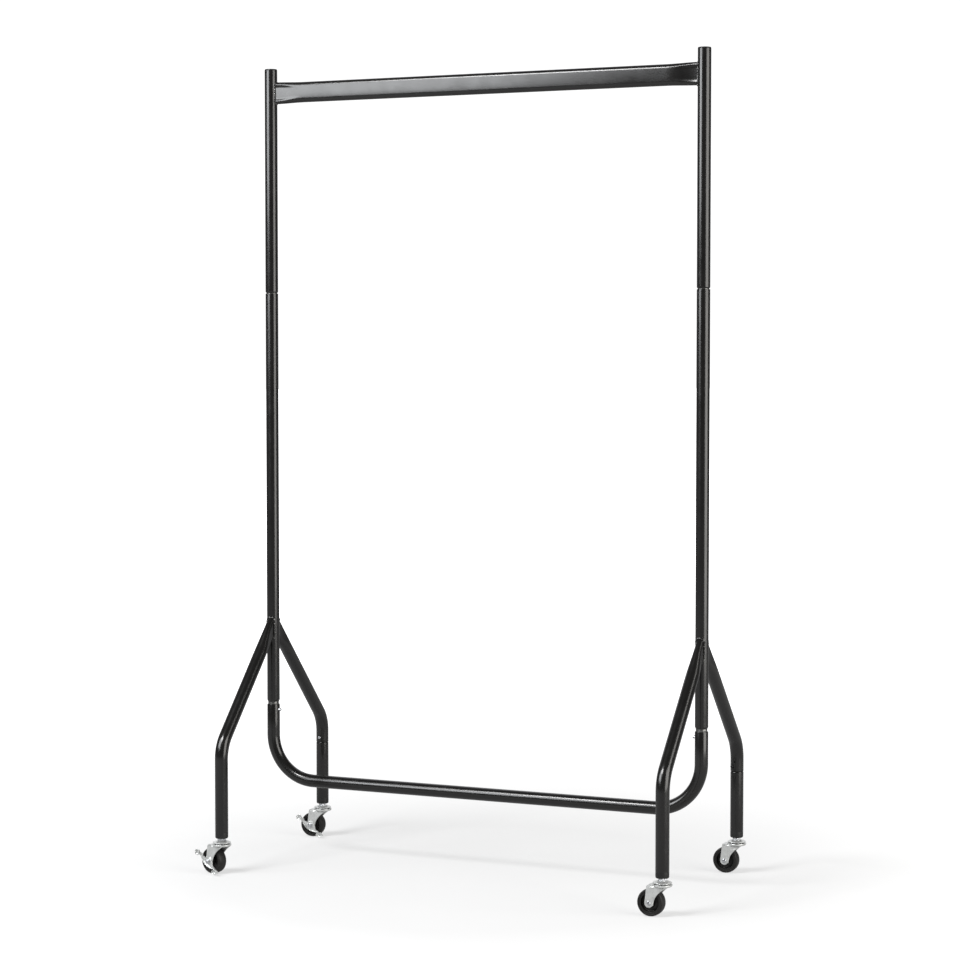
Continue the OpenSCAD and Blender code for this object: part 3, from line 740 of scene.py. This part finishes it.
leg_nodes = {("left", "front"): "front_left_leg", ("right", "front"): "front_right_leg",
             ("left", "rear"): "rear_left_leg", ("right", "rear"): "rear_right_leg"}
leg_beads = []
for (side, end), node in leg_nodes.items():
    z0 = socket_top if end == "front" else seam_z
    outer = leg_rings(tube_r, z0, 0)
    inner = leg_rings(bore_r, z0, tube_wall)
    v, f = tube(outer, inner)
    at = leg_place(side, end)
    ob = piece(node + "_tube", v, f, at, "frame", paint, [node], sharp=50)
    if end == "rear":
        drill(ob, button_frame(side, "leg"))
        if side == "right":
            # a spare locating hole in the right leg's outer wall
            spare = Matrix.Translation((0, 0, leg_button_z + 9)) @ Matrix.Rotation(-math.pi / 2, 4, "Z")
            drill(ob, at @ spare, 2.2)
        outline = drawn_end(0, 21.3, seam_z + 21 - socket_top, 1.3)
        turn = Matrix.Translation((0, 0, seam_z + 21)) @ Matrix.Diagonal((1, 1, -1, 1))
        v, f = lathe(outline, 96)
        ob = piece(f"rear_{side}_foot_tube", v, f, at @ turn, "frame", paint,
                   [f"rear_{side}_foot"])
        drill(ob, button_frame(side, "leg"))
    # the bead runs where the leg's last ring meets the upright
    loop = []
    start = Vector((0, -bend_out, slope_z))
    for x, h in oval(pinch_tall + 1.6, pinch_wide + 1.4):
        p = start + Vector((x, 0, 0)) + slope_up * h
        loop.append(p + slope_dir * (to_upright(p) - 0.5))
    centre = sum(loop, Vector()) / len(loop)
    loop = resampled(loop, 150)
    normals = []
    for p in loop:
        radial = Vector((p.x, p.y + leg_y, 0)).normalized()
        normals.append((radial + (p - centre).normalized() * 0.9).normalized())
    leg_beads.append(moved(bead(loop, normals, 2.0, 19, 11.0 * len(leg_beads) + 3), at))
v, f = joined(leg_beads)
piece("leg_weld_beads", v, f, HERE, "frame", weld_paint, ["leg_welds"],
      sharp=70)


# ---- spring buttons ----

proud = 4.6
for side in SIDES:
    for place in ("base", "leg"):
        tip = tube_r + proud
        outline = [(0, 6.4, 0), (2.9, 6.4, 0), (2.9, tip, 1.7), (0, tip + 0.05, 0)]
        pin = moved(lathe(outline, 40, 7), ALONG_X)
        # the flat foot that holds the pin inside the tube
        arm = [[(x, 3.5 * c, 8 * s) for c, s in
                ((1, -0.9), (1, 0.9), (0.8, 1), (-0.8, 1), (-1, 0.9), (-1, -0.9), (-0.8, -1), (0.8, -1))]
               for x in (5.6, 6.4)]
        node = f"{side}_{place}_button"
        v, f = joined([pin, loft(arm)])
        dark = place == "leg" and side == "right"
        piece(node + "_pin", v, f, button_frame(side, place), node,
              dark_steel if dark else steel, [node])


# ---- castors ----

socket_parts, race_parts, stem_parts = [], [], []
race_z = high("castor_top_races").z
under = low("castor_top_races").z
hex_top = socket_low - 0.05
for side in SIDES:
    for end in ENDS:
        at = castor_place(side, end)
        outline = [(5.05, socket_low, 0.2), (tube_r - 0.1, socket_low, 3.0),
                   (tube_r - 0.06, socket_top - 0.02, 0.15), (bore_r - 0.2, socket_top - 0.1, 0),
                   (bore_r - 0.2, socket_top + 26, 0.8), (5.05, socket_top + 26, 0.2)]
        socket_parts.append(moved(lathe(outline, 80), at))
        outline = [(4.1, under + 2.6, 0), (7.6, under + 2.6, 0.8), (10.2, under + 0.5, 1.2),
                   (11.4, under + 1.4, 0.8), (14.6, under + 1.4, 0.8), (15.4, under, 0.8),
                   (17.5, under, 0.5), (17.7, under + 1.2, 0.6), (15.6, under + 2.1, 1.4),
                   (12.0, race_z - 0.9, 2.2), (9.6, race_z - 0.05, 1.0), (4.1, race_z - 0.05, 0)]
        race_parts.append(moved(lathe(outline, 80), at))
        stem_parts.append(moved(hexagon(14.4, race_z, hex_top, 0.7),
                                at @ Matrix.Rotation(0.4, 4, "Z")))
        outline = [(0, hex_top - 0.2, 0), (4.9, hex_top - 0.2, 0), (4.9, socket_top + 20, 0.8),
                   (0, socket_top + 20, 0)]
        stem_parts.append(moved(lathe(outline, 40), at))
        # king pin with its riveted head under the crown
        outline = [(0, 52.6, 0), (4.2, 52.7, 1.0), (6.9, 54.4, 1.0), (6.9, 55.9, 0.4), (4.0, 55.9, 0),
                   (4.0, race_z + 0.1, 0), (0, race_z + 0.1, 0)]
        stem_parts.append(moved(lathe(outline, 48), at))
v, f = joined(socket_parts)
piece("stem_sockets", v, f, HERE, "frame", socket_plastic,
      ["castor_sockets"])
v, f = joined(race_parts)
piece("upper_races", v, f, HERE, "frame", bright, ["castor_top_races"])
v, f = joined(stem_parts)
piece("stems", v, f, HERE, "frame", steel, ["castor_stems"])


# fork: the crown's underside, its top and the top of its dish; half its width, its sheet, and
# the radius of a cheek's end round the axle
plate_z, crown_z, dish_z = 56.0, 58.0, 60.2
cheek_out = 13.5
sheet = 1.7
eye = 7.8


def cheek_front(z):
    if z < axle_z + 1.6:
        return -trail - math.sqrt(max(eye ** 2 - (z - axle_z) ** 2, 0))
    return -trail - eye + (z - axle_z - 1.6) / (crown_z - axle_z - 1.6) * 3.6


def cheek_rear(z):
    low_z = axle_z - 3.4
    if z < low_z:
        return -trail + math.sqrt(max(eye ** 2 - (z - axle_z) ** 2, 0))
    t = min(1.0, (z - low_z) / (crown_z - low_z))
    return -trail + 7.0 + 26.0 * t ** 2.25


def fork_sheet():
    """The fork's sheet, unrolled: up one cheek, over the crown, down the other, as a grid."""
    levels = []
    for i in range(9):
        a = math.pi / 2 * i / 8
        levels.append(axle_z - eye * math.cos(a) + 0.05 * (i == 0))
    z = axle_z
    while z < crown_z - 4.2:
        z += 2.2
        levels.append(min(z, crown_z - 3.2))
    fold = 3.2
    side_rows = [(-cheek_out, z) for z in levels]
    for i in range(1, 7):
        a = math.pi / 2 * i / 6
        side_rows.append((-cheek_out + fold * (1 - math.cos(a)), crown_z - fold + fold * math.sin(a)))
    path = side_rows + [(0.0, crown_z)] + [(-y, z) for y, z in reversed(side_rows)]
    rows = []
    cols = 14
    for y, z in path:
        x0, x1 = cheek_front(min(z, crown_z)), cheek_rear(min(z, crown_z))
        row = []
        for k in range(cols + 1):
            t = k / cols
            x = x0 + (x1 - x0) * t
            out = 0.0
            if abs(y) > cheek_out - 0.4:
                # the cheek swells a little round the axle and in front of its crease
                out = 0.8 * ease((-12.4 - x) / 1.6)
            row.append(Vector((x, y + math.copysign(out, y), z)))
        # a rolled lip along the rear edge
        lip = row[-1].copy()
        if abs(y) > cheek_out - 2.5 and z > axle_z - 3:
            lip += Vector((0.75, math.copysign(0.95, y), -0.15))
        else:
            lip += Vector((0.1, 0, 0))
        row.append(lip)
        rows.append(row)
    n = cols + 2
    verts = [tuple(p) for row in rows for p in row]
    faces = []
    for i in range(len(rows) - 1):
        for k in range(n - 1):
            faces.append((i * n + k, i * n + k + 1, (i + 1) * n + k + 1, (i + 1) * n + k))
    return verts, faces


for side in SIDES:
    for end in ENDS:
        key = f"{end}_{side}"
        at = castor_place(side, end)
        body = key + "_swivel"
        v, f = fork_sheet()
        ob = piece(key + "_fork_sheet", v, f, at, body, bright, [key + "_fork"], 55)
        mod = ob.modifiers.new("wall", "SOLIDIFY")
        mod.thickness, mod.offset = sheet * MM, -1
        bevel(ob, 0.35, 50, 45)
        # crown dish with its ball groove
        outline = [(4.15, plate_z, 0.2), (17.4, plate_z, 1.6), (18.5, plate_z + 1.6, 1.0),
                   (18.5, dish_z, 0.6), (17.2, dish_z, 0.5), (15.0, dish_z - 0.1, 0.4),
                   (14.2, dish_z - 0.9, 0.8), (11.8, dish_z - 0.9, 0.8), (11.0, dish_z - 0.1, 0.4),
                   (9.6, dish_z - 0.1, 0.6), (7.8, crown_z, 0.8), (4.15, crown_z, 0.2)]
        v, f = lathe(outline, 80)
        piece(key + "_fork_crown", v, f, at, body, bright, [key + "_fork"])
        balls = []
        for k in range(12):
            a = 2 * math.pi * k / 12
            ball = [(0, -1.98, 0)]
            ball += [(1.98 * math.sin(math.pi * i / 10), -1.98 * math.cos(math.pi * i / 10), 0)
                     for i in range(1, 10)]
            ball += [(0, 1.98, 0)]
            place = Matrix.Translation((13 * math.cos(a), 13 * math.sin(a), (dish_z + under) / 2))
            balls.append(moved(lathe(ball, 18), place))
        v, f = joined(balls)
        piece(key + "_ball_ring", v, f, at, body, ball_steel, [key + "_race_balls"], 60)

        # wheel core: hub, dished web with a raised ring, and rim
        wheel = AXLE @ BRAKE_SIDE
        half = [(4.05, 10.8, 0.3), (7.4, 10.8, 0.6), (8.4, 9.6, 0.8), (9.3, 3.6, 0.8), (13.2, 3.0, 0.6),
                (13.8, 3.9, 0.4), (15.0, 3.9, 0.4), (15.6, 3.2, 0.6), (16.6, 4.0, 0.8),
                (17.4, 8.6, 0.5), (21.1, 8.8, 0.3)]
        outline = half + [(r, -z, q) for r, z, q in reversed(half)]
        v, f = lathe(outline, 96, 4)
        roll = key + "_roller"
        piece(key + "_wheel_core", v, f, at @ wheel, roll, core_plastic, [key + "_wheel"])
        tread = axle_z  # the wheel stands on the floor
        half = [(21.12, 9.3, 0.2), (21.6, 9.5, 0.2), (22.4, 9.45, 0.4), (24.2, 9.2, 1.8),
                (24.98, 6.6, 1.6), (tread - 0.06, 3.0, 2.0), (tread - 0.01, 0.35, 0.1)]
        outline = half + [(r, -z, q) for r, z, q in reversed(half)]
        v, f = lathe(outline, 128, 5)
        piece(key + "_tread", v, f, at @ wheel, roll, tyre_rubber, [key + "_tyre"], 60)
        outline = [(3.06, -11.6, 0.1), (3.98, -11.6, 0.1), (3.98, 11.6, 0.1), (3.06, 11.6, 0.1)]
        v, f = lathe(outline, 48, 2)
        piece(key + "_sleeve", v, f, at @ wheel, body, steel, [key + "_bush"])

        # axle bolt: hexagon head on the far side, longer where it also carries a brake lever
        near = 22.0 if side == "left" else cheek_out + 2.6
        head = hexagon(9.0, -cheek_out - 4.0, -cheek_out - 0.45, 0.6)
        parts = [moved(head, Matrix.Rotation(0.3, 4, "Z"))]
        outline = [(0, -cheek_out - 0.5, 0), (2.98, -cheek_out - 0.5, 0), (2.98, near, 0.6),
                   (0, near, 0)]
        parts.append(lathe(outline, 40))
        v, f = joined(parts)
        piece(key + "_axle_bolt", v, f, at @ wheel, body, steel, [key + "_axle"])
        if side == "right":
            # a domed, slotted head
            z0 = cheek_out + 0.4
            outline = [(0, z0, 0), (4.3, z0, 0.2), (4.35, z0 + 1.2, 0.5), (3.7, z0 + 2.5, 1.0),
                       (0, z0 + 3.15, 0)]
            v, f = lathe(outline, 56, 6)
            ob = piece(key + "_slotted_head", v, f, at @ wheel, body, steel,
                       [key + "_axle_nut"])
            slot_box = loft([[(x, y, z) for x, y in ((-0.55, -6), (0.55, -6), (0.55, 6), (-0.55, 6))]
                             for z in (z0 + 1.6, z0 + 5)])
            cut(ob, *slot_box, at @ wheel @ Matrix.Rotation(0.7, 4, "Z"))
        else:
            v, f = hexagon(8.4, 17.05, 20.6, 0.6, hole=3.2)
            piece(key + "_brake_nut", v, f, at @ wheel @ Matrix.Rotation(0.25, 4, "Z"), body, steel,
                  [key + "_axle_nut"])


# ---- brake levers ----

# drawn as it would lie level, with u along it and v up; at rest it slopes down towards the heel
slope = math.radians(33.5)
LEVER = AXLE @ BRAKE_SIDE @ Matrix.Rotation(-slope, 4, "Z")
edge_r, edge_v = 36.0, 26.3  # its curved lower edge
dome_u, dome_v, dome_r = 1.2, -5.0, 12.6  # its round top
reach = 31.0


def lever_outline():
    """Clockwise from the left tab: over the dome, to the right tab, back along the curved edge."""
    top = [(-reach + 1, 1.0), (-22, 0.6), (-15.5, 0.2), (-12.2, 1.4)]
    for i in range(15):
        a = math.radians(150 - 118 * i / 14)
        top.append((dome_u + dome_r * math.cos(a), dome_v + dome_r * math.sin(a)))
    top += [(13.6, 0.2), (16.5, -0.9), (22, -1.2), (reach - 1, -0.6)]
    under = [(reach - 1, -3.8), (24.5, -4.0)]
    for i in range(19):
        u = 17.5 - 35 * i / 18
        under.append((u, edge_v - math.sqrt(edge_r ** 2 - u * u)))
    under += [(-24.5, -3.4), (-reach + 1, -3.2)]
    return top + under


def strip(path, width_lo, width_hi, thick):
    """A bent strip: path is in (u, out), its width runs along v between two values."""
    rings = []
    for i, (u, out) in enumerate(path):
        a, b = Vector(path[max(i - 1, 0)]), Vector(path[min(i + 1, len(path) - 1)])
        d = (b - a).normalized()
        n = Vector((-d.y, d.x)) * thick / 2
        t = i / (len(path) - 1)
        lo, hi = width_lo(t), width_hi(t)
        rings.append([(u + n.x, lo, out + n.y), (u + n.x, hi, out + n.y),
                      (u - n.x, hi, out - n.y), (u - n.x, lo, out - n.y)])
    return loft(rings)


for end in ENDS:
    key = f"{end}_left"
    at = castor_place("left", end)
    body = key + "_brake"
    z0, z1 = 15.4, 16.9
    outline = soften([(u, v, 0.8) for u, v in lever_outline()], 2)
    v, f = loft([[(u, w, z) for u, w in outline] for z in (z0, z1)])
    ob = piece(key + "_lever_plate", v, f, at @ LEVER, body, bright,
               [key + "_brake_lever"], 40)
    # two pressed dimples beside the nut
    for u in (-7.6, 8.2):
        dv, df = rod(0.95, z1 - 0.6, z1 + 2, 20)
        cut(ob, [(x + u, y - 1.0, z) for x, y, z in dv], df, at @ LEVER)
    bevel(ob, 0.3, 40, 40)
    # the turned-up lower edge
    rings = []
    count = 40
    for i in range(count + 1):
        u = -20.5 + 41 * i / count
        w = edge_v - math.sqrt(edge_r ** 2 - u * u)
        n = Vector((u, w - edge_v)).normalized()
        top = z1 + 1.7 * math.sin(math.pi * i / count) ** 0.5 + 0.2
        p, q = Vector((u, w)) - n * 1.3, Vector((u, w)) + n * 0.1
        rings.append([(*p, z0 + 0.1), (*q, z0 + 0.1), (*q, top - 0.3), (*(q - n * 0.4), top),
                      (*(p + n * 0.3), top), (*p, top - 0.3)])
    v, f = loft(rings)
    piece(key + "_lever_rim", v, f, at @ LEVER, body, bright, [key + "_brake_lever"],
          50)
    # at each end the sheet steps outwards to a round foot pad with a turned-up rim
    for name, way, pad_v in (("pedal", -1, 0.6), ("heel", 1, -2.4)):
        mid_t = (z0 + z1) / 2
        path = [(way * (reach - back), mid_t + up)
                for back, up in ((13.0, 0), (11.0, 0), (8.4, 1.4), (6.6, 3.4), (5.0, 3.9))]
        tongue = strip(path, lambda t: pad_v - 2.3 - 0.6 * ease(t),
                       lambda t: pad_v + 1.7 + 1.2 * ease(t), 1.4)
        base = mid_t + 3.3
        bowl = [(0, base, 0), (4.3, base, 0.9), (5.7, base + 1.2, 0.8), (6.0, base + 4.2, 0.4),
                (4.7, base + 4.2, 0.4), (4.4, base + 2.2, 0.9), (3.4, base + 1.3, 0.8),
                (0, base + 1.3, 0)]
        spot = Matrix.Translation((way * (reach - 2.2), pad_v, 0))
        if name == "heel":
            spot = spot @ Matrix.Rotation(slope, 4, "Z") @ Matrix.Diagonal((1.3, 0.74, 1, 1))
        v, f = joined([tongue, moved(lathe(bowl, 56, 4), spot)])
        piece(f"{key}_{name}_pad", v, f, at @ LEVER, body, bright, [key + "_brake_lever"],
              45)
    outline = [(3.15, 13.65, 0.2), (7.4, 13.65, 0.3), (7.4, 15.35, 0.3), (3.15, 15.35, 0.2)]
    v, f = lathe(outline, 56, 3)
    piece(key + "_cam_plate", v, f, at @ LEVER, body, steel, [key + "_brake_cam"])

# the springs are the only CAD meshes still drawn
spring_materials = frame["nodes"]["button_springs"].data.materials
spring_materials.clear()
spring_materials.append(steel)


# ---- camera, floor and light ----

scene = bpy.context.scene
rail_mid = Vector((centre_x, mid_y, 0))
eye_at = (rail_mid + Vector((2019.8, -4486.8, 1023.3))) * MM
look_at = (rail_mid + Vector((1.56, -0.94, 771.2))) * MM
camera = bpy.data.objects.new("camera", bpy.data.cameras.new("camera"))
scene.collection.objects.link(camera)
camera.location = eye_at
camera.rotation_mode = "QUATERNION"
camera.rotation_quaternion = (look_at - eye_at).to_track_quat("-Z", "Y")
camera.data.sensor_width = 36
camera.data.lens = 2538.3 / 960 * 36
camera.data.clip_end = 100
scene.camera = camera

floor_mesh = bpy.data.meshes.new("floor")
floor_mesh.from_pydata([(-30, -12, 0), (30, -12, 0), (30, 60, 0), (-30, 60, 0)], [], [(0, 1, 2, 3)])
floor = bpy.data.objects.new("floor", floor_mesh)
scene.collection.objects.link(floor)
g = Graph("studio floor")
far = g.add("ShaderNodeVectorMath", operation="LENGTH")
g.link(g.add("ShaderNodeNewGeometry").outputs["Position"], far.inputs[0])
# the floor glows though it is no lamp: painted light. The camera sees the glow grow with distance until
# the floor fades to the white of the backdrop; the rack's reflections don't, and a weak glow for every
# ray is painted fill light on the rack and in the castors' shadows
painted_floor_glow = g.add("ShaderNodeMath", operation="MULTIPLY_ADD")
g.link(g.spread(far.outputs["Value"], 0.34, 1.7, 0.5, 4.6), painted_floor_glow.inputs[0])
g.link(g.add("ShaderNodeLightPath").outputs["Is Camera Ray"], painted_floor_glow.inputs[1])
painted_floor_glow.inputs[2].default_value = 0.25
g.set(Base_Color=g.ramp(g.noise(3), [(0.3, (0.27, 0.27, 0.27)), (0.7, (0.28, 0.28, 0.28))]),
      Roughness=0.9, Specular_IOR_Level=0.0, Emission_Color=(1, 1, 1, 1),
      Emission_Strength=painted_floor_glow.outputs["Value"])
floor_mesh.materials.append(g.mat)

world = bpy.data.worlds.new("studio")
scene.world = world
world.use_nodes = True
nodes, links = world.node_tree.nodes, world.node_tree.links
nodes.clear()
output = nodes.new("ShaderNodeOutputWorld")
mix = nodes.new("ShaderNodeMixShader")
path = nodes.new("ShaderNodeLightPath")
seen = nodes.new("ShaderNodeBackground")
seen.inputs["Color"].default_value = (1, 1, 1, 1)
seen.inputs["Strength"].default_value = 1.1
# what the rack reflects: a white backdrop behind it in an otherwise dim studio
around = nodes.new("ShaderNodeBackground")
where = nodes.new("ShaderNodeTexCoord")
facing = nodes.new("ShaderNodeVectorMath")
facing.operation = "DOT_PRODUCT"
facing.inputs[1].default_value = (-0.38, 0.86, 0.34)
shade_map = nodes.new("ShaderNodeMapRange")
for key, value in (("From Min", 0.72), ("From Max", 0.90), ("To Min", 0.11), ("To Max", 0.95)):
    shade_map.inputs[key].default_value = value
links.new(where.outputs["Generated"], facing.inputs[0])
links.new(facing.outputs["Value"], shade_map.inputs["Value"])
links.new(shade_map.outputs["Result"], around.inputs["Strength"])
around.inputs["Color"].default_value = (0.98, 0.985, 1.0, 1)
links.new(path.outputs["Is Camera Ray"], mix.inputs["Fac"])
links.new(around.outputs["Background"], mix.inputs[1])
links.new(seen.outputs["Background"], mix.inputs[2])
links.new(mix.outputs["Shader"], output.inputs["Surface"])


def softbox(name, where, size_x, size_y, power, target, tint=(1, 1, 1)):
    data = bpy.data.lights.new(name, "AREA")
    data.shape = "RECTANGLE"
    data.size, data.size_y, data.energy, data.color = size_x, size_y, power, tint
    lamp = bpy.data.objects.new(name, data)
    scene.collection.objects.link(lamp)
    lamp.location = where
    lamp.rotation_mode = "QUATERNION"
    lamp.rotation_quaternion = (Vector(target) - Vector(where)).to_track_quat("-Z", "Y")


softbox("left", (-2.035, -2.62, 2.19), 2.25, 1.46, 107, (0.315, -0.32, 1.64), (0.96, 0.98, 1.0))
softbox("right", (3.1, -0.5, 1.35), 2.3, 2.6, 103, (0, 0, 1.2), (1.0, 0.985, 0.95))
softbox("overhead", (-1.1, -2.6, 3.4), 1.25, 0.75, 120, (0, 0, 0.3))

scene.view_settings.view_transform = "Standard"
